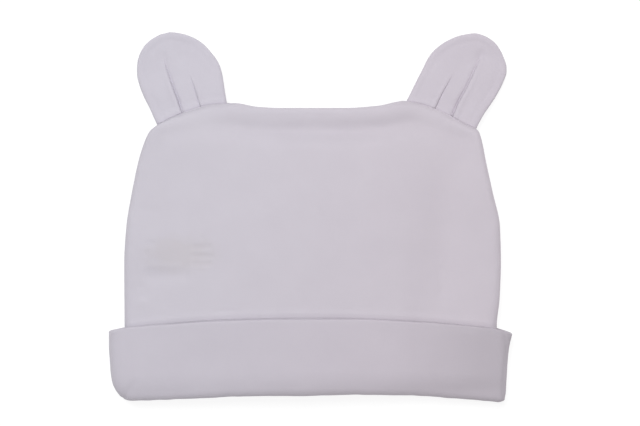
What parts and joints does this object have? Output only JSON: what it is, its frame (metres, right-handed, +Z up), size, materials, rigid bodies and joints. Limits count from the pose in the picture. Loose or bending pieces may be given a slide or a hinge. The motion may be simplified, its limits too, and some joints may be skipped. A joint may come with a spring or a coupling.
{
  "type": "baby hat with ears",
  "caption": "Soft knitted-cotton baby hat lying flat, with a turned-up brim, an open hollow crown and a pleated ear sewn into each shoulder.",
  "frame": {"origin": "on the surface that the hat lies on, under the middle of its box", "axes": "+X towards the ear on the right, +Y from the brim towards the ears, +Z up out of the front panel"},
  "size_m": [0.1878, 0.1726, 0.0231],
  "materials": {
    "crown_cloth": "matt cotton interlock, pale cool white",
    "cuff_cloth": "matt cotton interlock, turned up double",
    "ear_cloth": "matt cotton interlock, pressed flat"
  },
  "bodies": {
    "root": {"front_panel": "crown_cloth", "back_panel": "crown_cloth", "cuff": "cuff_cloth", "ear_left": "ear_cloth", "ear_right": "ear_cloth"}
  },
  "joints": []
}
